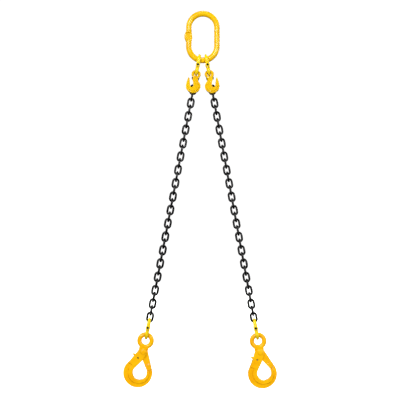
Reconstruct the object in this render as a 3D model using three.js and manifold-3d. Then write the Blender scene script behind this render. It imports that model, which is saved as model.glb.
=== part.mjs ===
// A two-leg chain sling for 6 mm lifting chain, hung from its master link with its legs spread.
// Millimetres, +Z up, +X to the right, +Y away from the viewer.
// The origin is the crane hook's seat: the inner top of the master link.
// Each leg has its own frame: origin on its upper load pin, z up along the leg, x to the right, y as above.
import * as THREE from 'three';
import { mergeVertices } from 'three/addons/utils/BufferGeometryUtils.js';
import Module from 'manifold-3d';

const wasm = await Module();
wasm.setup();

const GAP = 0.3;
const DEG = Math.PI / 180;
const DEPTH = new THREE.Vector3(0, 1, 0);

// Master link: an oblong ring with a pressed marking flat on its left side.
const MASTER = { wire: 16, innerWidth: 60, innerLength: 110, bendSteps: 10, sides: 12 };
const FLAT = { halfThickness: 5.5, halfWidth: 11, shift: 1.3, centreZ: -54, length: 18, runOut: 6 };

// Where each leg's upper load pin lies, and how far the leg leans out from vertical.
const LEG = { pinX: 13, pinZ: -130.6, spread: 10.57 * DEG };

// Chain: 6 mm wire. Links alternate between facing the viewer and standing edge-on.
// The chain lies a little behind its leg's load pin, and its first link is firstLink down the leg.
const CHAIN = { wire: 6, innerWidth: 9, pitch: 18.4, depth: 3.4, firstLink: 30.7, bendSteps: 4, sides: 6 };
const SEGMENTS = 12;
const LINKS_PER_SEGMENT = 3;
const BEARING_BLOCK = { width: 2.4, height: 2 };

// Connecting link: two forged halves hinged on a load pin, with a sleeve between their knuckles.
// Each half is a bow over two arms. An arm widens from its neck down to its foot, inside its knuckle.
// A half's bearing is how far the inside of its bow is from the load pin.
const COUPLING = {
  wire: 7,
  armSpan: 25,
  armHalfWidth: 5,
  topBearing: 23.2,
  endUpperBearing: 20.2,
  endLowerBearing: 26.2,
  neckZ: 7.7,
  outerNeck: 13.1,
  innerNeck: 8.7,
  footZ: 1,
  footHalfWidth: 5.2,
  knuckleRadius: 6.2,
  knuckleWidth: 5,
  outerKnuckle: 13.5,
  innerKnuckle: 8.1,
  pinRadius: 3,
  pinLength: 31,
  sleeveRadius: 4.7,
  sleeveHalf: 5.3,
  bendSteps: 4,
  sides: 8,
};

// Grab hook: a slotted plate that shortens the leg, leaning forward over the chain.
const GRAB = {
  eyeDrop: 26.1,
  depth: -6.6,
  lean: 22 * DEG,
  eyeRadius: 9.3,
  eyeRod: 3.7,
  thickness: 8,
  bevel: 1.2,
  bodyX: -1.5,
  bodyZ: -37.5,
  bodyRadius: 20,
  slotX: -5.3,
  slotZ: -37.6,
  slotRadius: 4.3,
  slotSlant: 21.5 * DEG,
};

// Self-locking hook, in its own frame: origin at the centre of its eye, z up.
const HOOK = {
  eyeDrop: 35.8,
  eyeRadius: 16.6,
  eyeRod: 6.4,
  eyeHalfDepth: 6,
  pivotZ: -31,
  pivotRadius: 4.5,
  pivotHeadRadius: 7.4,
  pivotHeadHeight: 1.4,
  hubRadius: 14,
  bladeThickness: 7,
  bladeBevel: 0.8,
  forkSlot: 7.8,
  forkReach: 33.5,
  gateThickness: 12,
  gateBevel: 2,
  gateFullFrom: 36,
  thickness: 16.2,
  bevel: 3,
  bossRadius: 9.5,
  bowlOuter: { x: -4.4, z: -89.2, radius: 39.4 },
  bowlInner: { x: 0.6, z: -88.2, radius: 18.8 },
  seamGap: 0.5,
};
const TRIGGER = {
  x: -11,
  z: -49,
  thickness: 7,
  bevel: 0.6,
  hubRadius: 4,
  pinRadius: 2,
  pinLength: 15.2,
  springRadius: 3.6,
  springFrom: 0.4,
};

// How many sides a bore or a round cut has, from the smallest to the largest.
const SMALL_SIDES = 12;
const BORE_SIDES = 16;
const EYE_SIDES = 18;
const SWEEP_SIDES = 32;

const paint = (name, color) =>
  new THREE.MeshStandardMaterial({ name, color, roughness: 0.35, metalness: 0 });
const steel = (name, color) =>
  new THREE.MeshStandardMaterial({ name, color, roughness: 0.45, metalness: 0.9 });
const YELLOW = '#f7b512';
const BLACK = '#1d1f22';
const BRIGHT = '#8c8f92';

// ---- Solids ----

function toSolid(geometry) {
  const bare = geometry.clone();
  bare.deleteAttribute('normal');
  bare.deleteAttribute('uv');
  const merged = mergeVertices(bare, 1e-4);
  return new wasm.Manifold(
    new wasm.Mesh({
      numProp: 3,
      vertProperties: merged.attributes.position.array,
      triVerts: new Uint32Array(merged.index.array),
    }),
  );
}

function toGeometry(solid) {
  const { vertProperties, triVerts } = solid.getMesh();
  const geometry = new THREE.BufferGeometry();
  geometry.setAttribute('position', new THREE.BufferAttribute(vertProperties, 3));
  geometry.setIndex(new THREE.BufferAttribute(triVerts, 1));
  geometry.computeVertexNormals();
  return geometry;
}

const join = (...geometries) =>
  toGeometry(geometries.map(toSolid).reduce((whole, next) => whole.add(next)));

const cut = (geometry, ...tools) =>
  toGeometry(tools.map(toSolid).reduce((left, tool) => left.subtract(tool), toSolid(geometry)));

// A skin over rings of equally many points, each ring turning the same way round.
// A loop joins its last ring to its first; otherwise both ends are capped.
function loft(rings, isLoop) {
  const sides = rings[0].length;
  const positions = rings.flat().flatMap((point) => point.toArray());
  const index = [];
  const last = isLoop ? rings.length : rings.length - 1;
  for (let r = 0; r < last; r++) {
    const here = r * sides;
    const next = ((r + 1) % rings.length) * sides;
    for (let i = 0; i < sides; i++) {
      const j = (i + 1) % sides;
      index.push(here + i, here + j, next + j, here + i, next + j, next + i);
    }
  }
  if (!isLoop) {
    const end = (rings.length - 1) * sides;
    for (let i = 1; i < sides - 1; i++) {
      index.push(0, i + 1, i);
      index.push(end, end + i, end + i + 1);
    }
  }
  const geometry = new THREE.BufferGeometry();
  geometry.setAttribute('position', new THREE.Float32BufferAttribute(positions, 3));
  geometry.setIndex(index);
  return geometry;
}

// One ring of a bar: an ellipse across the bar, with one half size outwards and another in the second
// direction, where it may also be pressed flat at a given height.
function ring(centre, outward, second, halfOut, halfSecond, sides, flat = Infinity) {
  return Array.from({ length: sides }, (_, i) => {
    const turn = (2 * Math.PI * (i + 0.5)) / sides;
    const across = THREE.MathUtils.clamp(halfSecond * Math.sin(turn), -flat, flat);
    return centre
      .clone()
      .addScaledVector(outward, halfOut * Math.cos(turn))
      .addScaledVector(second, across);
  });
}

// The rings of one half-turn bend in the XZ plane, about (0, z), from the angle start.
// The bend's straight steps touch its true circle from outside.
function bendRings({ z, start, radius, half, steps, sides }) {
  const spread = 1 / Math.cos(Math.PI / (2 * steps));
  return Array.from({ length: steps }, (_, i) => {
    const angle = start + (Math.PI * (i + 0.5)) / steps;
    const outward = new THREE.Vector3(Math.cos(angle), 0, Math.sin(angle));
    const centre = new THREE.Vector3(0, 0, z).addScaledVector(outward, radius * spread);
    return ring(centre, outward, DEPTH, half * spread, half, sides);
  });
}

// A flat plate in the XZ plane, centred on y = 0, from an outline drawn with x across and y up.
function plate(outline, thickness, bevel) {
  const geometry = new THREE.ExtrudeGeometry(outline, {
    depth: thickness - 2 * bevel,
    bevelEnabled: bevel > 0,
    bevelThickness: bevel,
    bevelSize: bevel,
    bevelOffset: -bevel,
    bevelSegments: 1,
    curveSegments: 7,
  });
  geometry.rotateX(Math.PI / 2);
  geometry.translate(0, thickness / 2 - bevel, 0);
  return geometry;
}

// A round bar along y, centred on (x, y, z).
const disc = (radius, width, x, y, z, sides = SMALL_SIDES) =>
  new THREE.CylinderGeometry(radius, radius, width, sides).translate(x, y, z);

// ---- Master link ----

function masterLink() {
  const { wire, innerWidth, innerLength, bendSteps: steps, sides } = MASTER;
  const half = wire / 2;
  const radius = innerWidth / 2 + half;
  const topZ = -innerWidth / 2;
  const bottomZ = topZ - (innerLength - innerWidth);
  const left = new THREE.Vector3(-1, 0, 0);
  const side = (z, halfOut, shift, flat) =>
    ring(new THREE.Vector3(-radius - shift, 0, z), left, DEPTH, halfOut, half, sides, flat);
  const flatTop = FLAT.centreZ + FLAT.length / 2;
  const flatBottom = FLAT.centreZ - FLAT.length / 2;
  return loft(
    [
      ...bendRings({ z: topZ, start: 0, radius, half, steps, sides }),
      side(flatTop + FLAT.runOut, half, 0),
      side(flatTop, FLAT.halfWidth, FLAT.shift, FLAT.halfThickness),
      side(flatBottom, FLAT.halfWidth, FLAT.shift, FLAT.halfThickness),
      side(flatBottom - FLAT.runOut, half, 0),
      ...bendRings({ z: bottomZ, start: Math.PI, radius, half, steps, sides }),
    ],
    true,
  );
}

// ---- Chain ----

const linkDrop = (number) => CHAIN.firstLink + number * CHAIN.pitch;

// A single link, placed down the leg by its number. Odd links stand edge-on.
function chainLink(number) {
  const { wire, innerWidth, pitch, bendSteps: steps, sides } = CHAIN;
  const half = wire / 2;
  const radius = innerWidth / 2 + half;
  const bendZ = pitch / 2 + half - radius;
  const link = loft(
    [
      ...bendRings({ z: bendZ, start: 0, radius, half, steps, sides }),
      ...bendRings({ z: -bendZ, start: Math.PI, radius, half, steps, sides }),
    ],
    true,
  );
  if (number % 2) link.rotateZ(Math.PI / 2);
  return link.translate(0, CHAIN.depth, -linkDrop(number));
}

// Three links held bearing on each other, as one piece.
function chainSegment(first) {
  const links = Array.from({ length: LINKS_PER_SEGMENT }, (_, i) => chainLink(first + i));
  const { width, height } = BEARING_BLOCK;
  const blocks = links.slice(1).map((_, i) =>
    new THREE.BoxGeometry(width, width, height).translate(
      0,
      CHAIN.depth,
      -linkDrop(first + i) - CHAIN.pitch / 2,
    ),
  );
  return join(...links, ...blocks);
}

// ---- Connecting link ----

// The upper half: a bow over the top, an outer knuckle on the near side and an inner one on the far side.
function couplingHalf(bearing) {
  const { wire, armSpan, armHalfWidth, sides, bendSteps: steps } = COUPLING;
  const { neckZ, outerNeck, innerNeck, footZ, footHalfWidth } = COUPLING;
  const { knuckleRadius, knuckleWidth, outerKnuckle, innerKnuckle } = COUPLING;
  const half = wire / 2;
  const radius = armSpan / 2;
  const bendZ = bearing + half - radius;
  const across = new THREE.Vector3(-1, 0, 0);
  const bow = Array.from({ length: steps + 1 }, (_, i) => {
    const angle = (Math.PI * i) / steps;
    const outward = new THREE.Vector3(0, Math.cos(angle), Math.sin(angle));
    const centre = new THREE.Vector3(0, 0, bendZ).addScaledVector(outward, radius);
    const halfWidth = half + (armHalfWidth - half) * Math.cos(angle) ** 2;
    return ring(centre, outward, across, half, halfWidth, sides);
  });
  const arm = (y, z, halfWidth) => {
    const outward = new THREE.Vector3(0, Math.sign(y), 0);
    return ring(new THREE.Vector3(0, y, z), outward, across, knuckleWidth / 2, halfWidth, sides);
  };
  const body = loft(
    [
      arm(innerKnuckle, footZ, footHalfWidth),
      arm(innerNeck, neckZ, armHalfWidth),
      ...bow,
      arm(-outerNeck, neckZ, armHalfWidth),
      arm(-outerKnuckle, footZ, footHalfWidth),
    ],
    false,
  );
  const knuckle = (y, extra) => disc(knuckleRadius + extra, knuckleWidth + 2 * extra, 0, y, 0);
  const trimmed = cut(body, knuckle(outerKnuckle, GAP), knuckle(-innerKnuckle, GAP));
  const whole = join(trimmed, knuckle(-outerKnuckle, 0), knuckle(innerKnuckle, 0));
  return cut(whole, disc(COUPLING.pinRadius + GAP, 2 * armSpan, 0, 0, 0));
}

// A tube along y, from its inner and outer radius.
function tube(inner, outer, from, to) {
  const profile = [
    [inner, from],
    [outer, from],
    [outer, to],
    [inner, to],
    [inner, from],
  ];
  return new THREE.LatheGeometry(profile.map((p) => new THREE.Vector2(...p)), SMALL_SIDES);
}

const couplingPin = () => disc(COUPLING.pinRadius, COUPLING.pinLength, 0, 0, 0);
const couplingSleeve = () =>
  tube(COUPLING.pinRadius + GAP, COUPLING.sleeveRadius, -COUPLING.sleeveHalf, COUPLING.sleeveHalf);

// ---- Grab hook ----

// The slot runs up and out from its round bottom, between the body and the tip.
function grabHook() {
  const { bodyX, bodyZ, bodyRadius, slotX, slotZ, slotRadius, slotSlant } = GRAB;
  const outline = new THREE.Shape();
  outline.moveTo(7.5, -8);
  outline.lineTo(8.5, -18);
  outline.absarc(bodyX, bodyZ, bodyRadius, 52 * DEG, -180 * DEG, true);
  outline.lineTo(bodyX - bodyRadius, -25);
  outline.lineTo(-19.5, -15.5);
  outline.lineTo(-17, -14);
  outline.lineTo(-15, -17);
  outline.absarc(slotX, slotZ, slotRadius, Math.PI + slotSlant, 2 * Math.PI + slotSlant, false);
  outline.lineTo(-7, -17);
  outline.lineTo(-6.5, -8);
  const eye = new THREE.TorusGeometry(GRAB.eyeRadius, GRAB.eyeRod, 6, BORE_SIDES).rotateX(Math.PI / 2);
  const bore = disc(GRAB.eyeRadius - GRAB.eyeRod, 2 * GRAB.thickness, 0, 0, 0, BORE_SIDES);
  return join(eye, cut(plate(outline, GRAB.thickness, GRAB.bevel), bore));
}

// ---- Self-locking hook ----

// The eye and the gate are one forging: a ring, a thin blade round the pivot and a full-thickness gate.
function hookGate() {
  const { eyeRadius, eyeRod, eyeHalfDepth, pivotZ, hubRadius, seamGap } = HOOK;
  const eye = new THREE.TorusGeometry(eyeRadius, eyeRod, 8, EYE_SIDES)
    .rotateX(Math.PI / 2)
    .scale(1, eyeHalfDepth / eyeRod, 1);
  const outline = new THREE.Shape();
  outline.moveTo(-13.3, -15);
  outline.lineTo(-hubRadius, pivotZ);
  outline.absarc(0, pivotZ, hubRadius, Math.PI, 285 * DEG, false);
  outline.lineTo(1.9, -54);
  outline.lineTo(19.8 - seamGap, -80.8 + seamGap);
  outline.lineTo(31.1 - seamGap, -71.8 + seamGap);
  outline.lineTo(11.2, -26.6);
  outline.lineTo(12.3, -15);
  const thick = cut(
    plate(outline, HOOK.gateThickness, HOOK.gateBevel),
    disc(HOOK.gateFullFrom, 2 * HOOK.gateThickness, 0, 0, pivotZ, SWEEP_SIDES),
  );
  const blade = plate(outline, HOOK.bladeThickness, HOOK.bladeBevel);
  const inEye = disc(eyeRadius - eyeRod, 2 * HOOK.gateThickness, 0, 0, 0, EYE_SIDES);
  const whole = join(eye, cut(blade, inEye), thick);
  return cut(whole, disc(HOOK.pivotRadius + GAP, 2 * HOOK.thickness, 0, 0, pivotZ, BORE_SIDES));
}

// The bowl hangs on the pivot by a fork. The fork's slot takes the blade and the trigger.
function hookBowl() {
  const { pivotZ, bossRadius, bowlOuter, bowlInner, thickness } = HOOK;
  const outline = new THREE.Shape();
  outline.moveTo(-11.5, -23.8);
  outline.lineTo(-22.2, -44);
  outline.lineTo(-30.1, -57.7);
  outline.absarc(bowlOuter.x, bowlOuter.z, bowlOuter.radius, 157 * DEG, 385.9 * DEG, false);
  outline.absarc(bowlInner.x, bowlInner.z, bowlInner.radius, 19 * DEG, -216 * DEG, true);
  outline.lineTo(0.5, -56);
  outline.lineTo(9, -38);
  outline.absarc(0, pivotZ, bossRadius, -20 * DEG, 90 * DEG, false);
  return cut(
    plate(outline, thickness, HOOK.bevel),
    disc(HOOK.forkReach, HOOK.forkSlot, 0, 0, pivotZ, SWEEP_SIDES),
    disc(HOOK.pivotRadius + GAP, 2 * thickness, 0, 0, pivotZ, BORE_SIDES),
    disc(TRIGGER.pinRadius + GAP, 2 * thickness, TRIGGER.x, 0, TRIGGER.z),
  );
}

function hookPivotPin() {
  const { pivotRadius, pivotHeadRadius, pivotHeadHeight, thickness } = HOOK;
  const face = thickness / 2 + GAP;
  const end = face + pivotHeadHeight;
  const profile = [
    [0, -end],
    [pivotHeadRadius, -end],
    [pivotHeadRadius, -face],
    [pivotRadius, -face],
    [pivotRadius, face],
    [pivotHeadRadius, face],
    [pivotHeadRadius, end],
    [0, end],
  ];
  return new THREE.LatheGeometry(profile.map((p) => new THREE.Vector2(...p)), BORE_SIDES);
}

// The trigger, about its own pin: a nose towards the blade and a thumb tab out of the hook's back.
function hookTrigger() {
  const { hubRadius, pinRadius, thickness, springRadius, springFrom } = TRIGGER;
  const outline = new THREE.Shape();
  outline.absarc(0, 0, hubRadius, 210 * DEG, 380 * DEG, false);
  outline.lineTo(2.2, 5.2);
  outline.lineTo(-6, 6.5);
  outline.lineTo(-13.5, 10.5);
  outline.lineTo(-16.3, 8.6);
  outline.lineTo(-14.6, 5);
  const springRoom = disc(springRadius + GAP, thickness, 0, springFrom - GAP + thickness / 2, 0);
  return cut(
    plate(outline, thickness, TRIGGER.bevel),
    disc(pinRadius + GAP, 2 * thickness, 0, 0, 0),
    springRoom,
  );
}

const triggerPin = () => disc(TRIGGER.pinRadius, TRIGGER.pinLength, 0, 0, 0);
const triggerSpring = () =>
  tube(TRIGGER.pinRadius + GAP, TRIGGER.springRadius, TRIGGER.springFrom, TRIGGER.thickness / 2);

// ---- Assembly ----

function piece(name, geometry, material) {
  const mesh = new THREE.Mesh(geometry, material);
  mesh.name = name;
  return mesh;
}

// A connecting link with its load pin at the given drop down the leg.
function coupling(prefix, drop, depth, upperBearing, lowerBearing) {
  const group = new THREE.Group();
  group.position.set(0, depth, -drop);
  const upper = piece(`${prefix}_upper`, couplingHalf(upperBearing), paint('coupling_paint', YELLOW));
  const lower = piece(`${prefix}_lower`, couplingHalf(lowerBearing), paint('coupling_paint', YELLOW));
  lower.rotation.x = Math.PI;
  group.add(upper, lower);
  group.add(piece(`${prefix}_pin`, couplingPin(), steel('pin_steel', BLACK)));
  group.add(piece(`${prefix}_sleeve`, couplingSleeve(), steel('pin_steel', BRIGHT)));
  return group;
}

function lockingHook(side, drop) {
  const group = new THREE.Group();
  group.position.set(0, CHAIN.depth, -drop);
  const pivot = piece(`${side}_hook_pivot_pin`, hookPivotPin(), paint('hook_paint', YELLOW));
  pivot.position.z = HOOK.pivotZ;
  const onTriggerPin = new THREE.Group();
  onTriggerPin.position.set(TRIGGER.x, 0, TRIGGER.z);
  onTriggerPin.add(
    piece(`${side}_hook_trigger`, hookTrigger(), paint('hook_paint', YELLOW)),
    piece(`${side}_trigger_pin`, triggerPin(), steel('pin_steel', BLACK)),
    piece(`${side}_trigger_spring`, triggerSpring(), steel('pin_steel', BRIGHT)),
  );
  group.add(
    piece(`${side}_hook_eye_and_gate`, hookGate(), paint('hook_paint', YELLOW)),
    piece(`${side}_hook_bowl`, hookBowl(), paint('hook_paint', YELLOW)),
    pivot,
    onTriggerPin,
  );
  return group;
}

function leg(side) {
  const sign = side === 'left' ? -1 : 1;
  const { topBearing, endUpperBearing, endLowerBearing } = COUPLING;
  const group = new THREE.Group();
  group.position.set(sign * LEG.pinX, 0, LEG.pinZ);
  group.rotation.y = -sign * LEG.spread;

  group.add(coupling(`${side}_top_coupling`, 0, 0, topBearing, topBearing));

  // The right leg's grab hook is turned round, so that both slots open outwards.
  const grab = piece(`${side}_grab_hook`, grabHook(), paint('hook_paint', YELLOW));
  if (side === 'right') grab.geometry.rotateZ(Math.PI);
  grab.position.set(0, GRAB.depth, -GRAB.eyeDrop);
  grab.rotation.x = -GRAB.lean;
  group.add(grab);

  group.add(piece(`${side}_chain_top_link`, chainLink(0), steel('chain_steel', BLACK)));
  for (let i = 0; i < SEGMENTS; i++) {
    const name = `${side}_chain_segment_${String(i + 1).padStart(2, '0')}`;
    group.add(piece(name, chainSegment(1 + LINKS_PER_SEGMENT * i), steel('chain_steel', BLACK)));
  }

  const lastLink = linkDrop(SEGMENTS * LINKS_PER_SEGMENT);
  const endPin = lastLink + CHAIN.pitch / 2 + endUpperBearing - GAP;
  group.add(coupling(`${side}_end_coupling`, endPin, CHAIN.depth, endUpperBearing, endLowerBearing));
  group.add(lockingHook(side, endPin + HOOK.eyeDrop));
  return group;
}

const sling = new THREE.Group();
sling.add(piece('master_link', masterLink(), paint('master_paint', YELLOW)));
sling.add(leg('left'), leg('right'));
export default sling;
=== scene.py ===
"""The looks of a two-leg chain sling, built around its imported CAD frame.

Pieces are drawn in millimetres, in the same frames as the CAD. The master link has the sling's own frame.
Each leg has a frame with its origin on the upper load pin, z up along the leg and x to the right.

Wires, pins and knuckles are given by their radius, and bends and eyes by the radius of their wire's middle.
Outlines are (x, z) points, circles are (x, z, radius), and arcs are (from, to, steps) in degrees.
"""

import math

import bmesh
import bpy
from mathutils import Matrix, Vector


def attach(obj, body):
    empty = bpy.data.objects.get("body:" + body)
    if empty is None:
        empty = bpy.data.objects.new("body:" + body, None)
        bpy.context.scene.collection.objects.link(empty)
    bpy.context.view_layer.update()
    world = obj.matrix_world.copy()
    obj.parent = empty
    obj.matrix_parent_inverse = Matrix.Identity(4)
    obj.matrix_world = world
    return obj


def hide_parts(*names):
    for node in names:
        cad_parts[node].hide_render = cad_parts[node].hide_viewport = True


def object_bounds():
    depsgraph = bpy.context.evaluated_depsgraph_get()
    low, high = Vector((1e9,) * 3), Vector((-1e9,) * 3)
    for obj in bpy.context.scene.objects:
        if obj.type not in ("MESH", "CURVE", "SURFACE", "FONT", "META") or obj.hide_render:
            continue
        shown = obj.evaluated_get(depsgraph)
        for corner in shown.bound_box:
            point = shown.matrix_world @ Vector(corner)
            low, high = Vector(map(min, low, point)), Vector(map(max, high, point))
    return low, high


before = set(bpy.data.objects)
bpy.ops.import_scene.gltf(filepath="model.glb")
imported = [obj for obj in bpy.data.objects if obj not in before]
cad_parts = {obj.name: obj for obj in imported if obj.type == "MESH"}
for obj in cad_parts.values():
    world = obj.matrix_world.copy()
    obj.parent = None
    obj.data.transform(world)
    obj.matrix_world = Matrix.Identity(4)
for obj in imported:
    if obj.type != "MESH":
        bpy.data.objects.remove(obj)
cad_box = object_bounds()

MM = 0.001
SIDES = {"left": -1, "right": 1}
ACROSS = Vector((1, 0, 0))
DEPTH = Vector((0, 1, 0))

# Fineness of round shapes
BAR_SIDES = 20
RING_STEPS = 48
ROD_SIDES = 48
WIDE_SIDES = 96

# Room round pieces that turn, and a cutting tool's length that passes right through any piece
CLEARANCE = 0.3
THROUGH = 60.0

# Edges stay crisp where faces turn by more than this, in degrees
MACHINED_ANGLE = 30
FORGED_ANGLE = 40
ROUND_ANGLE = 60

# Finishing of solids
SKIN_SMOOTHING = 0.5
CHAMFER_SEGMENTS = 2
CHAMFER_ANGLE = 35
MERGE_DISTANCE = 1e-7

# Master link
MASTER_WIRE = 8.0
MASTER_BEND = 38.0
MASTER_TOP_Z = -30.0
MASTER_BOTTOM_Z = -80.0
MASTER_SIDES = 32
MASTER_BEND_STEPS = 32
FLAT_Z = -54.0
FLAT_HALF_LENGTH = 9.0
FLAT_RUN_OUT = 3.0
FLAT_HALF_THICKNESS = 5.5
FLAT_HALF_WIDTH = 11.0
FLAT_SHIFT = 1.3
FLAT_ROWS = 48
BULGE_HALF_LENGTH = 3.0
BULGE_RUN_OUT = 13.0

# Legs
PIN_X = 13.0
PIN_Z = -130.6
SPREAD = math.radians(10.57)

# Chain. The weld's place and length are fractions of the link's straight side.
WIRE = 3.0
LINK_BEND = 7.5
LINK_BEND_Z = 4.7
LINK_BEND_STEPS = 14
WELD_START = 0.15
WELD_LENGTH = 0.7
WELD_SWELL = 0.22
WELD_SHARPNESS = 5
WELD_STEPS = 8
PITCH = 18.4
FIRST_LINK = 30.7
CHAIN_DEPTH = 3.4
LINKS = 37
LINKS_PER_SEGMENT = 3

# Forged skins: voxel size, and rounds of smoothing
COUPLING_SKIN = (0.42, 5)
GRAB_SKIN = (0.5, 8)
GATE_SKIN = (0.6, 6)
BOWL_SKIN = (0.6, 7)

# Connecting link
BOW_WIRE = 3.5
BOW_RADIUS = 12.5
BOW_STEPS = 16
TOP_BEARING = 23.2
END_UPPER_BEARING = 20.2
END_LOWER_BEARING = 26.2
ARM_HALF_WIDTH = 5.0
NECK_Z = 7.7
OUTER_NECK = 13.1
INNER_NECK = 8.7
FOOT_Z = 1.0
FOOT_HALF_WIDTH = 5.2
KNUCKLE = 6.2
KNUCKLE_HALF = 2.5
OUTER_KNUCKLE = 13.5
INNER_KNUCKLE = 8.1

# Its dimpled pin and its waisted sleeve. An end is (radius, distance in from the end) points.
LOAD_PIN = 3.0
LOAD_PIN_HALF = 15.5
LOAD_PIN_END = [(0.0, 0.5), (1.0, 0.1), (1.3, 0.0), (LOAD_PIN - 0.5, 0.0), (LOAD_PIN, 0.5)]
SLEEVE_HALF = 5.3
SLEEVE_END = [(LOAD_PIN + CLEARANCE, 0.0), (4.3, 0.0), (4.7, 0.4), (4.2, 3.8)]

# Grab hook
GRAB_DROP = 26.1
GRAB_DEPTH = -6.6
GRAB_LEAN = math.radians(22)
GRAB_EYE = 9.3
GRAB_EYE_ROD = 3.7
GRAB_EYE_HALF_DEPTH = 3.4
GRAB_THICKNESS = 5.6
GRAB_PAD_THICKNESS = 9.2
GRAB_SLANT = 21.5
GRAB_BODY = (-1.5, -37.5, 20.0)
GRAB_BODY_ARC = (52, -180, 40)
GRAB_SLOT = (-5.3, -37.6, 4.3)
GRAB_SLOT_ARC = (180 + GRAB_SLANT, 360 + GRAB_SLANT, 14)
GRAB_PAD = (-0.7, -39.0, 14.5)
GRAB_NECK_RIGHT = [(7.5, -8), (8.0, -18)]
GRAB_TIP = [(-21.0, -27), (-19.6, -16), (-18.2, -14), (-16.6, -14.4), (-15, -17)]
GRAB_NECK_LEFT = [(-7, -17), (-6.5, -8)]

# Self-locking hook: eye and gate
END_PIN = FIRST_LINK + (LINKS - 1) * PITCH + PITCH / 2 + END_UPPER_BEARING - CLEARANCE
PIN_TO_EYE = 35.8
EYE = 16.6
EYE_ROD = 6.4
EYE_HALF_DEPTH = 6.0
NECK_REACH = 23.5
NECK_THICKNESS = 11.0
BLADE_THICKNESS = 7.4
GATE_THICKNESS = 12.4
GATE_FULL_FROM = 36.0
PIVOT_Z = -31.0
HUB = 14.0
HUB_ARC = (180, 285, 24)
GATE_LEFT = [(-13.3, -15), (-HUB, PIVOT_Z)]
GATE_RIGHT = [(1.9, -54), (19.3, -80.3), (30.6, -71.3), (11.2, -26.6), (12.3, -15)]

# Self-locking hook: bowl and fork
FLANGE_THICKNESS = 10.6
CORE_THICKNESS = 15.6
FORK_THICKNESS = 17.0
FORK_SLOT = 7.8
FORK_REACH = 33.5
FORK_REGION = [(-60, -20), (-60, -61), (-28.5, -67.5), (-18.5, -73), (20, -50), (20, -20)]
BOWL_BACK = [(-11.5, -23.8), (-22.2, -44), (-30.1, -57.7)]
BOWL_OUTER = (-4.4, -89.2, 39.4)
BOWL_OUTER_ARC = (157, 385.9, 64)
BOWL_INNER = (0.6, -88.2, 18.8)
BOWL_INNER_ARC = (19, -216, 56)
BOWL_RIDGE = (-1.6, -88.8, 28.6)
BOWL_FRONT = [(0.5, -56), (9, -38)]
BOSS = 9.5
BOSS_ARC = (-20, 90, 16)
PIVOT = 4.5
PIVOT_PIN_HALF = 9.8
PIVOT_PIN_END = [(0.0, 0.0), (4.5, 0.05), (6.6, 0.4), (7.4, 1.0), (7.2, 1.4), (PIVOT, 1.4)]

# Trigger, with its roll pin and spring
TRIGGER_X = -11.0
TRIGGER_Z = -49.0
TRIGGER_THICKNESS = 7.0
TRIGGER_CHAMFER = 0.5
TRIGGER_HUB = (0, 0, 4.0)
TRIGGER_HUB_ARC = (210, 380, 18)
TRIGGER_LEVER = [(2.2, 5.2), (-6, 6.5), (-13.5, 10.5), (-15.3, 10.2), (-16.3, 8.6), (-14.6, 5)]
GROOVES = [(-14.1, 10.8), (-14.8, 9.9), (-15.5, 9.0)]
GROOVE_RADIUS = 0.45
GROOVE_SIDES = 12
SPRING_RECESS = 3.9
SPRING_RECESS_LENGTH = 7.0
SPRING_RECESS_Y = 3.6
ROLL_PIN = 2.0
ROLL_PIN_HALF = 7.6
ROLL_PIN_END = [(1.1, 0.0), (ROLL_PIN - 0.3, 0.0), (ROLL_PIN, 0.4)]
SPLIT = [(0, -0.25), (3, -0.25), (3, 0.25), (0, 0.25)]
SPRING_RADIUS = 3.0
SPRING_WIRE = 0.29
SPRING_TURNS = 5
SPRING_STEPS = 32
SPRING_SIDES = 8
SPRING_START_Y = 0.75
SPRING_LENGTH = 2.4

# Paints: light colour, deep colour, colour of the painted shade in the creases, and scale of the grain.
# The grab hooks are a shade deeper than the other hooks.
PAINTS = {
    "master_paint": ((0.9, 0.55, 0.002), (0.82, 0.45, 0.001), (0.6, 0.25, 0), 900),
    "coupling_paint": ((0.92, 0.68, 0.008), (0.84, 0.58, 0.004), (0.5, 0.24, 0), 1100),
    "grab_paint": ((0.82, 0.5, 0.001), (0.73, 0.4, 0.001), (0.45, 0.18, 0), 900),
    "hook_paint": ((1.0, 0.54, 0.001), (0.93, 0.43, 0.001), (0.72, 0.22, 0), 900),
}
RUBBED_EDGE = (0.55, 0.27, 0.01)
CLOUD_SCALE = 28
CLOUD_DETAIL = 4
CLOUD_RANGE = (0.35, 0.65)
# Pointiness stops for the painted shade in the creases: concave places are coloured darker, standing in for
# the shade that falls in them.
PAINTED_CREASE_SHADE_STOPS = [(0.46, (0.9, 0.9, 0.9)), (0.495, (0, 0, 0))]
EDGE_STOPS = [(0.525, (0, 0, 0)), (0.6, (0.45, 0.45, 0.45))]
PEEL_DETAIL = 3
PEEL_STRENGTH = 0.15
PAINT_GLOSS = (0.14, 0.28)
PAINT_SPECULAR = 0.3

# Steels: dark colour, light colour, roughness, metalness, and scale of the mottling
STEELS = {
    "chain_steel": ((0.0006, 0.0006, 0.0008), (0.003, 0.003, 0.0034), 0.18, 0.0, 150),
    "dark_pin_steel": ((0.001, 0.001, 0.001), (0.004, 0.003, 0.003), 0.6, 0.0, 400),
    "bright_steel": ((0.3, 0.3, 0.31), (0.55, 0.55, 0.56), 0.35, 1.0, 500),
}
MOTTLE_DETAIL = 6
MOTTLE_ROUGHNESS = 0.65
MOTTLE_RANGE = (0.35, 0.7)
STEEL_GLOSS = (-0.08, 0.12)
SCALE_FINER = 5
SCALE_DETAIL = 4
SCALE_STRENGTH = 0.3
STEEL_SPECULAR = 0.25
BUMP_HEIGHT = 0.0003

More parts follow.
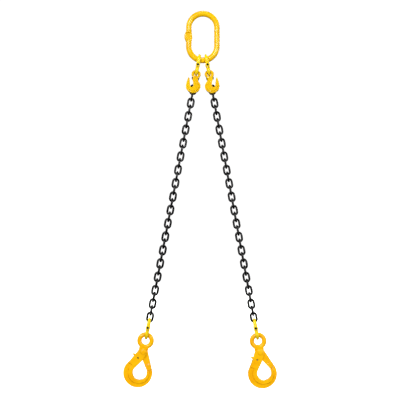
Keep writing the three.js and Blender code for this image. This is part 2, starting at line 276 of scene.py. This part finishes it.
# Stage, and the light of the world round it
FLOOR_DROP = 80
FLOOR_DISC = 6000
STUDIO_RADIUS = 24000
STUDIO_CURVE = 8000
STUDIO_CURVE_ARC = (-90, 0, 24)
STUDIO_HEIGHT = 24000
FIBRE_SCALE = 3
FIBRE_DETAIL = 2
PAPER_STOPS = [(0.3, (0.93, 0.93, 0.93)), (0.7, (0.95, 0.95, 0.95))]
PAPER_ROUGHNESS = 0.9
PAPER_GLOW = 0.95
WORLD_LIGHT = 0.12

# Lights, all facing the middle of the sling: name, place and width in metres, and power in watts
MIDDLE = (-0.0062, 0.0, -0.4952)
LIGHTS = [
    ("key", (-1.4, -3.9, 1.0), 1.4, 150),
    ("fill", (2.0, -3.6, -0.1), 1.2, 60),
    ("top", (0.0, -0.8, 2.6), 1.4, 26),
    ("left", (-4.0, 0.6, 0.4), 3.0, 45),
    ("right", (4.0, 0.6, 0.2), 3.0, 45),
    ("back_key", (1.6, 3.8, 0.8), 3.0, 120),
    ("back_fill", (-2.2, 3.4, 0.0), 3.0, 60),
]

# Camera: lens in millimetres, width in metres that it sees at the sling, and angles in degrees
LENS = 110
FRAME_WIDTH = 1.0805
CAMERA_PITCH = 90
CAMERA_ROLL = -0.2


# ---- Meshes ----


def circle(centre, out, second, half_out, half_second, sides):
    """Points round a bar's section: an ellipse on two directions."""
    points = []
    for i in range(sides):
        turn = 2 * math.pi * i / sides
        along_out = out * (half_out * math.cos(turn))
        along_second = second * (half_second * math.sin(turn))
        points.append(centre + along_out + along_second)
    return points


def to_object(name, bm):
    """An object from a bmesh drawn in millimetres, with its faces turned outwards."""
    bmesh.ops.recalc_face_normals(bm, faces=bm.faces)
    bmesh.ops.scale(bm, vec=(MM, MM, MM), verts=bm.verts)
    mesh = bpy.data.meshes.new(name)
    bm.to_mesh(mesh)
    bm.free()
    obj = bpy.data.objects.new(name, mesh)
    bpy.context.scene.collection.objects.link(obj)
    return obj


def loft(name, rings, loop=False):
    """A skin over rings of equally many points, closed on itself or capped at both ends."""
    bm = bmesh.new()
    rows = [[bm.verts.new(point) for point in ring] for ring in rings]
    count = len(rows[0])
    following = rows[1:] + rows[:1] if loop else rows[1:]
    for here, there in zip(rows, following):
        for i in range(count):
            j = (i + 1) % count
            bm.faces.new((here[i], here[j], there[j], there[i]))
    if not loop:
        bm.faces.new(rows[0])
        bm.faces.new(rows[-1])
    return to_object(name, bm)


def turned(half, end):
    """A piece turned about the y axis, alike at both ends. Ends off the axis leave a bore."""
    profile = [(radius, -half + inset) for radius, inset in end]
    profile += [(radius, half - inset) for radius, inset in reversed(end)]
    rings = []
    for i in range(ROD_SIDES):
        turn = 2 * math.pi * i / ROD_SIDES
        rings.append([Vector((r * math.cos(turn), y, r * math.sin(turn))) for r, y in profile])
    obj = loft("turned", rings, loop=True)
    bm = bmesh.new()
    bm.from_mesh(obj.data)
    bmesh.ops.remove_doubles(bm, verts=bm.verts, dist=MERGE_DISTANCE)
    bmesh.ops.recalc_face_normals(bm, faces=bm.faces)
    bm.to_mesh(obj.data)
    bm.free()
    return obj


def arc(x, z, radius, start, end, steps):
    """Points on an arc in the xz plane, from one angle to another, in degrees."""
    points = []
    for i in range(steps + 1):
        turn = math.radians(start + (end - start) * i / steps)
        points.append((x + radius * math.cos(turn), z + radius * math.sin(turn)))
    return points


def plate(name, outline, thickness, y=0.0):
    """A flat plate from an outline, centred on y."""
    bm = bmesh.new()
    front = [bm.verts.new((x, y - thickness / 2, z)) for x, z in outline]
    face = bm.faces.new(front)
    extruded = bmesh.ops.extrude_face_region(bm, geom=[face])["geom"]
    back = [item for item in extruded if isinstance(item, bmesh.types.BMVert)]
    bmesh.ops.translate(bm, vec=(0, thickness, 0), verts=back)
    return to_object(name, bm)


def rod(radius, length, x=0.0, y=0.0, z=0.0, sides=ROD_SIDES):
    """A plain cylinder along y, used as a cutting tool or to be worked further."""
    return plate("rod", arc(x, z, radius, 0, 360 - 360 / sides, sides - 1), length, y)


def apply_modifiers(obj):
    """Bakes an object's modifiers into its mesh."""
    graph = bpy.context.evaluated_depsgraph_get()
    mesh = bpy.data.meshes.new_from_object(obj.evaluated_get(graph))
    obj.modifiers.clear()
    obj.data = mesh


def combine(obj, operation, *tools):
    """Adds, cuts or intersects solids, and removes the tools."""
    for tool in tools:
        modifier = obj.modifiers.new(operation, "BOOLEAN")
        modifier.operation = operation
        modifier.solver = "EXACT"
        modifier.object = tool
        apply_modifiers(obj)
        bpy.data.objects.remove(tool)
    return obj


def forge(obj, voxel, rounds):
    """Rounds every edge as a forging's are: an even skin, smoothed."""
    remesh = obj.modifiers.new("even_skin", "REMESH")
    remesh.mode = "VOXEL"
    remesh.voxel_size = voxel * MM
    smooth = obj.modifiers.new("rounding", "SMOOTH")
    smooth.factor = SKIN_SMOOTHING
    smooth.iterations = rounds
    apply_modifiers(obj)
    return obj


def soften(obj, width):
    """Small machined chamfers on sharp edges."""
    bevel = obj.modifiers.new("chamfer", "BEVEL")
    bevel.width = width * MM
    bevel.segments = CHAMFER_SEGMENTS
    bevel.limit_method = "ANGLE"
    bevel.angle_limit = math.radians(CHAMFER_ANGLE)
    apply_modifiers(obj)
    return obj


# ---- Materials ----


def shader(name):
    """A new material, with its nodes, its links and its shader node."""
    material = bpy.data.materials.new(name)
    material.use_nodes = True
    nodes = material.node_tree.nodes
    return material, nodes, material.node_tree.links, nodes["Principled BSDF"]


def noise(nodes, links, scale, detail, rough=0.5):
    """A noise texture on the piece's own coordinates, so that it stays put as the piece moves."""
    where = nodes.new("ShaderNodeTexCoord")
    texture = nodes.new("ShaderNodeTexNoise")
    texture.inputs["Scale"].default_value = scale
    texture.inputs["Detail"].default_value = detail
    texture.inputs["Roughness"].default_value = rough
    links.new(where.outputs["Object"], texture.inputs["Vector"])
    return texture


def ramp(nodes, links, source, stops):
    """A colour ramp from two (position, colour) stops."""
    node = nodes.new("ShaderNodeValToRGB")
    for stop, (position, colour) in zip(node.color_ramp.elements, stops):
        stop.position = position
        stop.color = (*colour, 1)
    links.new(source, node.inputs["Fac"])
    return node


def bump(nodes, links, principled, texture, strength):
    """Fine relief on a surface, from a texture."""
    node = nodes.new("ShaderNodeBump")
    node.inputs["Strength"].default_value = strength
    node.inputs["Distance"].default_value = BUMP_HEIGHT
    links.new(texture.outputs["Fac"], node.inputs["Height"])
    links.new(node.outputs["Normal"], principled.inputs["Normal"])


def vary_roughness(nodes, links, principled, texture, low, high):
    """Roughness that follows a texture, between two values."""
    node = nodes.new("ShaderNodeMapRange")
    node.inputs["To Min"].default_value = low
    node.inputs["To Max"].default_value = high
    links.new(texture.outputs["Fac"], node.inputs["Value"])
    links.new(node.outputs["Result"], principled.inputs["Roughness"])


def tinted(nodes, links, source, mask, colour):
    """A colour laid over another where a mask is light."""
    mix = nodes.new("ShaderNodeMix")
    mix.data_type = "RGBA"
    links.new(mask.outputs["Color"], mix.inputs["Factor"])
    links.new(source, mix.inputs["A"])
    mix.inputs["B"].default_value = (*colour, 1)
    return mix.outputs["Result"]


def paint(name, light, deep, crease_shade_colour, grain):
    """Powder coat over a forging: cloudy, finely grained, rubbed on the edges, and darkened in the creases
    as painted shade.
    """
    material, nodes, links, principled = shader(name)
    cloud = noise(nodes, links, CLOUD_SCALE, CLOUD_DETAIL)
    colour = ramp(nodes, links, cloud.outputs["Fac"], zip(CLOUD_RANGE, (deep, light)))
    form = nodes.new("ShaderNodeNewGeometry").outputs["Pointiness"]
    # Painted shade: the creases are coloured darker, standing in for the shade that falls in them.
    crease_shade_mask = ramp(nodes, links, form, PAINTED_CREASE_SHADE_STOPS)
    edges = ramp(nodes, links, form, EDGE_STOPS)
    crease_shaded = tinted(nodes, links, colour.outputs["Color"], crease_shade_mask, crease_shade_colour)
    worn = tinted(nodes, links, crease_shaded, edges, RUBBED_EDGE)
    links.new(worn, principled.inputs["Base Color"])
    peel = noise(nodes, links, grain, PEEL_DETAIL)
    bump(nodes, links, principled, peel, PEEL_STRENGTH)
    vary_roughness(nodes, links, principled, cloud, *PAINT_GLOSS)
    principled.inputs["Specular IOR Level"].default_value = PAINT_SPECULAR
    return material


def steel(name, dark, light, rough, metalness, grain):
    """Bare or lacquered steel: mottled, with a fine scale."""
    material, nodes, links, principled = shader(name)
    mottle = noise(nodes, links, grain, MOTTLE_DETAIL, MOTTLE_ROUGHNESS)
    colour = ramp(nodes, links, mottle.outputs["Fac"], zip(MOTTLE_RANGE, (dark, light)))
    links.new(colour.outputs["Color"], principled.inputs["Base Color"])
    low, high = STEEL_GLOSS
    vary_roughness(nodes, links, principled, mottle, rough + low, rough + high)
    scale = noise(nodes, links, grain * SCALE_FINER, SCALE_DETAIL)
    bump(nodes, links, principled, scale, SCALE_STRENGTH)
    principled.inputs["Metallic"].default_value = metalness
    principled.inputs["Specular IOR Level"].default_value = STEEL_SPECULAR
    return material


MATERIALS = {name: paint(name, *look) for name, look in PAINTS.items()}
MATERIALS.update({name: steel(name, *look) for name, look in STEELS.items()})


# ---- Placing ----


def at(x, y, z):
    """A place in a frame, in millimetres."""
    return Matrix.Translation(Vector((x, y, z)) * MM)


def leg_place(side):
    """Where a leg's frame stands in the sling's frame."""
    sign = SIDES[side]
    turn = Matrix.Rotation(-sign * SPREAD, 4, "Y")
    return at(sign * PIN_X, 0, PIN_Z) @ turn


def shape(make, material, *sizes, angle=FORGED_ANGLE):
    """The finished mesh of a shape: its material, and smooth shading with crisp machined edges."""
    obj = make(*sizes)
    mesh = obj.data
    mesh.materials.clear()
    mesh.materials.append(MATERIALS[material])
    mesh.shade_smooth()
    mesh.set_sharp_from_angle(angle=math.radians(angle))
    bpy.data.objects.remove(obj)
    return mesh


def place(name, mesh, matrix, body, replaced):
    """A piece of the object: where it stands, what it moves with and any CAD nodes that it replaces."""
    placed = mesh.copy()
    placed.transform(matrix)
    obj = bpy.data.objects.new(name, placed)
    bpy.context.scene.collection.objects.link(obj)
    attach(obj, body)
    if replaced:
        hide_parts(*replaced)


# ---- Master link ----


def bend(z, start, radius, half, steps, sides):
    """Rings round one half-turn of a link, both ends included."""
    rings = []
    for i in range(steps + 1):
        turn = start + math.pi * i / steps
        out = Vector((math.cos(turn), 0, math.sin(turn)))
        centre = Vector((0, 0, z)) + out * radius
        rings.append(circle(centre, out, DEPTH, half, half, sides))
    return rings


def eased(t):
    """Goes smoothly from 0 to 1 as t does, and stays at either outside them."""
    t = min(max(t, 0.0), 1.0)
    return t * t * (3 - 2 * t)


def flat_ring(z):
    """The wire at the marking flat: pressed thin from front and back, and bulging to both sides."""
    press = 1 - eased((abs(z - FLAT_Z) - FLAT_HALF_LENGTH) / FLAT_RUN_OUT)
    bulge = 1 - eased((abs(z - FLAT_Z) - BULGE_HALF_LENGTH) / BULGE_RUN_OUT)
    centre = Vector((-MASTER_BEND - FLAT_SHIFT * bulge, 0, z))
    wide = MASTER_WIRE + (FLAT_HALF_WIDTH - MASTER_WIRE) * bulge
    limit = MASTER_WIRE + (FLAT_HALF_THICKNESS - MASTER_WIRE) * press
    ring = circle(centre, -ACROSS, DEPTH, wide, MASTER_WIRE, MASTER_SIDES)
    return [Vector((p.x, min(max(p.y, -limit), limit), p.z)) for p in ring]


def master_link():
    """Two half-turns joined by straight sides, the left one with the marking flat."""
    top = FLAT_Z + BULGE_HALF_LENGTH + BULGE_RUN_OUT
    bottom = FLAT_Z - BULGE_HALF_LENGTH - BULGE_RUN_OUT
    rings = bend(MASTER_TOP_Z, 0, MASTER_BEND, MASTER_WIRE, MASTER_BEND_STEPS, MASTER_SIDES)
    rings += [flat_ring(top + (bottom - top) * i / FLAT_ROWS) for i in range(FLAT_ROWS + 1)]
    rings += bend(MASTER_BOTTOM_Z, math.pi, MASTER_BEND, MASTER_WIRE, MASTER_BEND_STEPS, MASTER_SIDES)
    return loft("master_link", rings, loop=True)


# ---- Chain ----


def chain_link():
    """A welded link: the weld leaves a low swelling at the middle of one side."""
    rings = bend(LINK_BEND_Z, 0, LINK_BEND, WIRE, LINK_BEND_STEPS, BAR_SIDES)
    rings += bend(-LINK_BEND_Z, math.pi, LINK_BEND, WIRE, LINK_BEND_STEPS, BAR_SIDES)
    for i in range(WELD_STEPS + 1):
        t = i / WELD_STEPS
        z = -LINK_BEND_Z + 2 * LINK_BEND_Z * (WELD_START + WELD_LENGTH * t)
        half = WIRE + WELD_SWELL * math.exp(-((t - 0.5) * WELD_SHARPNESS) ** 2)
        rings.append(circle(Vector((LINK_BEND, 0, z)), ACROSS, DEPTH, half, half, BAR_SIDES))
    return loft("chain_link", rings, loop=True)


# ---- Connecting link ----


def coupling_half(bearing):
    """Half a connecting link: a bow, an outer knuckle at the front and an inner one at the back."""
    back_foot = (INNER_KNUCKLE, FOOT_Z, FOOT_HALF_WIDTH)
    back_neck = (INNER_NECK, NECK_Z, ARM_HALF_WIDTH)
    front_neck = (OUTER_NECK, NECK_Z, ARM_HALF_WIDTH)
    front_foot = (OUTER_KNUCKLE, FOOT_Z, FOOT_HALF_WIDTH)
    rings = []
    for y, z, half_width in (back_foot, back_neck):
        rings.append(circle(Vector((0, y, z)), DEPTH, ACROSS, KNUCKLE_HALF, half_width, BAR_SIDES))
    for i in range(BOW_STEPS + 1):
        turn = math.pi * i / BOW_STEPS
        out = Vector((0, math.cos(turn), math.sin(turn)))
        half_width = BOW_WIRE + (ARM_HALF_WIDTH - BOW_WIRE) * math.cos(turn) ** 2
        centre = Vector((0, 0, bearing + BOW_WIRE - BOW_RADIUS)) + out * BOW_RADIUS
        rings.append(circle(centre, out, ACROSS, BOW_WIRE, half_width, BAR_SIDES))
    for y, z, half_width in (front_neck, front_foot):
        rings.append(circle(Vector((0, -y, z)), -DEPTH, ACROSS, KNUCKLE_HALF, half_width, BAR_SIDES))
    body = loft("coupling_half", rings)
    combine(
        body,
        "DIFFERENCE",
        rod(KNUCKLE + CLEARANCE, 2 * (KNUCKLE_HALF + CLEARANCE), y=OUTER_KNUCKLE),
        rod(KNUCKLE + CLEARANCE, 2 * (KNUCKLE_HALF + CLEARANCE), y=-INNER_KNUCKLE),
    )
    combine(
        body,
        "UNION",
        rod(KNUCKLE, 2 * KNUCKLE_HALF, y=-OUTER_KNUCKLE),
        rod(KNUCKLE, 2 * KNUCKLE_HALF, y=INNER_KNUCKLE),
    )
    forge(body, *COUPLING_SKIN)
    return combine(body, "DIFFERENCE", rod(LOAD_PIN + CLEARANCE, THROUGH))


# ---- Grab hook ----


def eye_ring(radius, rod_out, rod_deep):
    """A hook's eye: a ring in the xz plane with an oval section."""
    rings = []
    for i in range(RING_STEPS):
        turn = 2 * math.pi * i / RING_STEPS
        out = Vector((math.cos(turn), 0, math.sin(turn)))
        rings.append(circle(out * radius, out, DEPTH, rod_out, rod_deep, BAR_SIDES))
    return loft("eye_ring", rings, loop=True)


def grab_hook():
    """A forged plate with a slot that holds one chain link edge-on, and a thicker pad under the slot."""
    outline = GRAB_NECK_RIGHT + arc(*GRAB_BODY, *GRAB_BODY_ARC) + GRAB_TIP
    outline += arc(*GRAB_SLOT, *GRAB_SLOT_ARC) + GRAB_NECK_LEFT
    body = plate("grab_hook", outline, GRAB_THICKNESS)
    pad_x, pad_z, pad_radius = GRAB_PAD
    pad = plate("pad", outline, GRAB_PAD_THICKNESS)
    combine(pad, "INTERSECT", rod(pad_radius, THROUGH, pad_x, 0, pad_z))
    combine(body, "DIFFERENCE", rod(GRAB_EYE - GRAB_EYE_ROD, THROUGH))
    combine(body, "UNION", pad, eye_ring(GRAB_EYE, GRAB_EYE_ROD, GRAB_EYE_HALF_DEPTH))
    return forge(body, *GRAB_SKIN)


# ---- Self-locking hook ----


def hook_gate():
    """The eye, the thin blade round the pivot and the full-thickness gate, in one forging."""
    outline = GATE_LEFT + arc(0, PIVOT_Z, HUB, *HUB_ARC) + GATE_RIGHT
    eye = eye_ring(EYE, EYE_ROD, EYE_HALF_DEPTH)
    gate = plate("gate", outline, GATE_THICKNESS)
    combine(gate, "DIFFERENCE", rod(GATE_FULL_FROM, THROUGH, 0, 0, PIVOT_Z, WIDE_SIDES))
    neck = plate("neck", outline, NECK_THICKNESS)
    combine(neck, "INTERSECT", rod(NECK_REACH, THROUGH))
    combine(neck, "DIFFERENCE", rod(EYE - EYE_ROD, THROUGH))
    blade = plate("blade", outline, BLADE_THICKNESS)
    combine(blade, "DIFFERENCE", rod(EYE - EYE_ROD, THROUGH))
    body = combine(eye, "UNION", blade, gate, neck)
    forge(body, *GATE_SKIN)
    return combine(body, "DIFFERENCE", rod(PIVOT + CLEARANCE, THROUGH, 0, 0, PIVOT_Z))


def hook_bowl():
    """The bowl: a thin outer flange, a thick inner core, a ridge between them and a fork at the top."""
    outline = BOWL_BACK + arc(*BOWL_OUTER, *BOWL_OUTER_ARC) + arc(*BOWL_INNER, *BOWL_INNER_ARC)
    outline += BOWL_FRONT + arc(0, PIVOT_Z, BOSS, *BOSS_ARC)
    body = plate("hook_bowl", outline, FLANGE_THICKNESS)
    core = plate("core", outline, CORE_THICKNESS)
    ridge_x, ridge_z, ridge_radius = BOWL_RIDGE
    combine(core, "INTERSECT", rod(ridge_radius, THROUGH, ridge_x, 0, ridge_z, WIDE_SIDES))
    fork = plate("fork", outline, FORK_THICKNESS)
    combine(fork, "INTERSECT", plate("fork_region", FORK_REGION, THROUGH))
    combine(body, "UNION", core, fork)
    forge(body, *BOWL_SKIN)
    return combine(
        body,
        "DIFFERENCE",
        rod(FORK_REACH, FORK_SLOT, 0, 0, PIVOT_Z, WIDE_SIDES),
        rod(PIVOT + CLEARANCE, THROUGH, 0, 0, PIVOT_Z),
        rod(ROLL_PIN + CLEARANCE, THROUGH, TRIGGER_X, 0, TRIGGER_Z),
    )


def trigger():
    """A lever on its roll pin, with a ribbed thumb tab at the hook's back and a recess for the spring."""
    outline = arc(*TRIGGER_HUB, *TRIGGER_HUB_ARC) + TRIGGER_LEVER
    lever = soften(plate("trigger", outline, TRIGGER_THICKNESS), TRIGGER_CHAMFER)
    bore = rod(ROLL_PIN + CLEARANCE, THROUGH)
    recess = rod(SPRING_RECESS, SPRING_RECESS_LENGTH, y=SPRING_RECESS_Y)
    grooves = [rod(GROOVE_RADIUS, THROUGH, x, 0, z, GROOVE_SIDES) for x, z in GROOVES]
    return combine(lever, "DIFFERENCE", bore, recess, *grooves)


def roll_pin():
    """A spring pin rolled from strip, with its lengthwise split."""
    pin = turned(ROLL_PIN_HALF, ROLL_PIN_END)
    return combine(pin, "DIFFERENCE", plate("split", SPLIT, THROUGH))


def torsion_spring():
    """Close turns of fine wire beside the trigger."""
    rings = []
    for i in range(SPRING_TURNS * SPRING_STEPS + 1):
        turn = 2 * math.pi * i / SPRING_STEPS
        out = Vector((math.cos(turn), 0, math.sin(turn)))
        y = SPRING_START_Y + SPRING_LENGTH * i / (SPRING_TURNS * SPRING_STEPS)
        centre = out * SPRING_RADIUS + DEPTH * y
        rings.append(circle(centre, out, DEPTH, SPRING_WIRE, SPRING_WIRE, SPRING_SIDES))
    return loft("torsion_spring", rings)


# ---- Assembly ----

MESHES = {
    "link": shape(chain_link, "chain_steel", angle=ROUND_ANGLE),
    "top_half": shape(coupling_half, "coupling_paint", TOP_BEARING),
    "end_upper_half": shape(coupling_half, "coupling_paint", END_UPPER_BEARING),
    "end_lower_half": shape(coupling_half, "coupling_paint", END_LOWER_BEARING),
    "load_pin": shape(turned, "dark_pin_steel", LOAD_PIN_HALF, LOAD_PIN_END, angle=MACHINED_ANGLE),
    "load_sleeve": shape(turned, "bright_steel", SLEEVE_HALF, SLEEVE_END, angle=MACHINED_ANGLE),
    "grab": shape(grab_hook, "grab_paint"),
    "gate": shape(hook_gate, "hook_paint"),
    "bowl": shape(hook_bowl, "hook_paint"),
    "pivot_pin": shape(turned, "hook_paint", PIVOT_PIN_HALF, PIVOT_PIN_END),
    "trigger": shape(trigger, "hook_paint", angle=MACHINED_ANGLE),
    "roll_pin": shape(roll_pin, "dark_pin_steel", angle=MACHINED_ANGLE),
    "spring": shape(torsion_spring, "bright_steel", angle=ROUND_ANGLE),
}
UPSIDE_DOWN = Matrix.Rotation(math.pi, 4, "X")
QUARTER_TURN = Matrix.Rotation(math.pi / 2, 4, "Z")
HALF_TURN = Matrix.Rotation(math.pi, 4, "Z")


def build_coupling(side, node, matrix, upper_mesh, lower_mesh, top_body, bottom_body):
    """Two halves, their load pin and its sleeve."""
    upside_down = matrix @ UPSIDE_DOWN
    for part, mesh, where, body, slot in (
        ("upper", upper_mesh, matrix, top_body, "coupling_paint"),
        ("lower", lower_mesh, upside_down, bottom_body, "coupling_paint"),
        ("pin", "load_pin", matrix, top_body, "dark_pin_steel"),
        ("sleeve", "load_sleeve", matrix, top_body, "bright_steel"),
    ):
        name = f"{side}_{node}_{part}"
        place(f"fine_{name}", MESHES[mesh], where, body, [name])


def build_chain(side, leg):
    """Every link by itself. The CAD holds them in threes, so each rides on its segment.

    The first link of a segment stands for the CAD node.
    """
    for number in range(LINKS):
        matrix = leg @ at(0, CHAIN_DEPTH, -(FIRST_LINK + number * PITCH))
        if number % 2:
            matrix = matrix @ QUARTER_TURN
        if number == 0:
            body = f"{side}_top_link"
            replaced = [f"{side}_chain_top_link"]
        else:
            segment = (number - 1) // LINKS_PER_SEGMENT + 1
            first = (number - 1) % LINKS_PER_SEGMENT == 0
            body = f"{side}_segment_{segment:02d}"
            replaced = [f"{side}_chain_segment_{segment:02d}"] if first else []
        place(f"fine_{side}_link_{number:02d}", MESHES["link"], matrix, body, replaced)


def build_grab_hook(side, leg):
    """The right grab hook is the left one turned round, so that both slots open outwards."""
    matrix = leg @ at(0, GRAB_DEPTH, -GRAB_DROP) @ Matrix.Rotation(-GRAB_LEAN, 4, "X")
    if side == "right":
        matrix = matrix @ HALF_TURN
    node = f"{side}_grab_hook"
    place(f"fine_{node}", MESHES["grab"], matrix, node, [node])


def build_hook(side, leg):
    """The self-locking hook. Both hooks face the same way."""
    eye = leg @ at(0, CHAIN_DEPTH, -(END_PIN + PIN_TO_EYE))
    pivot = eye @ at(0, 0, PIVOT_Z)
    pin = eye @ at(TRIGGER_X, 0, TRIGGER_Z)
    for node, mesh, matrix, body, slot in (
        ("hook_eye_and_gate", "gate", eye, "hook_eye", "hook_paint"),
        ("hook_bowl", "bowl", eye, "hook_body", "hook_paint"),
        ("hook_pivot_pin", "pivot_pin", pivot, "hook_body", "hook_paint"),
        ("trigger_pin", "roll_pin", pin, "hook_body", "dark_pin_steel"),
        ("hook_trigger", "trigger", pin, "trigger", "hook_paint"),
        ("trigger_spring", "spring", pin, "trigger", "bright_steel"),
    ):
        name = f"{side}_{node}"
        place(f"fine_{name}", MESHES[mesh], matrix, f"{side}_{body}", [name])


def build_leg(side):
    """Everything that hangs from the master link on one side."""
    leg = leg_place(side)
    end = leg @ at(0, CHAIN_DEPTH, -END_PIN)
    top_bodies = (f"{side}_coupling_top", f"{side}_coupling_bottom")
    end_bodies = (f"{side}_end_coupling_top", f"{side}_end_coupling_bottom")
    build_coupling(side, "top_coupling", leg, "top_half", "top_half", *top_bodies)
    build_grab_hook(side, leg)
    build_chain(side, leg)
    build_coupling(side, "end_coupling", end, "end_upper_half", "end_lower_half", *end_bodies)
    build_hook(side, leg)


master = shape(master_link, "master_paint")
place("fine_master_link", master, Matrix(), "master_link", ["master_link"])
for side in SIDES:
    build_leg(side)


# ---- Stage ----


def backdrop():
    """A pale round studio: a floor that the hooks never reach, curving up into a wall on every side."""
    floor_z = cad_box[0][2] / MM - FLOOR_DROP
    profile = [(FLOOR_DISC, floor_z)]
    profile += arc(STUDIO_RADIUS - STUDIO_CURVE, floor_z + STUDIO_CURVE, STUDIO_CURVE, *STUDIO_CURVE_ARC)
    profile += [(STUDIO_RADIUS, STUDIO_HEIGHT)]
    rings = []
    for radius, z in profile:
        rings.append(circle(Vector((0, 0, z)), ACROSS, DEPTH, radius, radius, WIDE_SIDES))
    obj = loft("backdrop", rings)
    obj.data.shade_smooth()
    material, nodes, links, principled = shader("backdrop_paper")
    fibres = noise(nodes, links, FIBRE_SCALE, FIBRE_DETAIL)
    tint = ramp(nodes, links, fibres.outputs["Fac"], PAPER_STOPS)
    links.new(tint.outputs["Color"], principled.inputs["Base Color"])
    principled.inputs["Roughness"].default_value = PAPER_ROUGHNESS
    principled.inputs["Emission Color"].default_value = (1, 1, 1, 1)
    principled.inputs["Emission Strength"].default_value = PAPER_GLOW
    obj.data.materials.append(material)
    obj.visible_diffuse = False
    obj.visible_glossy = False
    obj.visible_shadow = False


def area_light(name, location, size, power):
    """A square light that faces the middle of the sling and isn't seen itself."""
    data = bpy.data.lights.new(name, "AREA")
    data.size = size
    data.energy = power
    light = bpy.data.objects.new(name, data)
    light.location = location
    facing = Vector(MIDDLE) - Vector(location)
    light.rotation_euler = facing.to_track_quat("-Z", "Y").to_euler()
    light.visible_camera = False
    bpy.context.scene.collection.objects.link(light)


def studio_world():
    """Faint even light from all around, with colours shown as they are."""
    world = bpy.data.worlds.new("studio")
    world.use_nodes = True
    background = world.node_tree.nodes["Background"]
    background.inputs["Color"].default_value = (1, 1, 1, 1)
    background.inputs["Strength"].default_value = WORLD_LIGHT
    bpy.context.scene.world = world
    bpy.context.scene.view_settings.view_transform = "Standard"


def studio_camera():
    """A camera straight in front of the sling."""
    data = bpy.data.cameras.new("camera")
    data.lens = LENS
    distance = FRAME_WIDTH * LENS / data.sensor_width
    camera = bpy.data.objects.new("camera", data)
    camera.location = Vector(MIDDLE) + Vector((0, -distance, 0))
    camera.rotation_euler = (math.radians(CAMERA_PITCH), math.radians(CAMERA_ROLL), 0)
    bpy.context.scene.collection.objects.link(camera)
    bpy.context.scene.camera = camera


backdrop()
for light in LIGHTS:
    area_light(*light)
studio_world()
studio_camera()
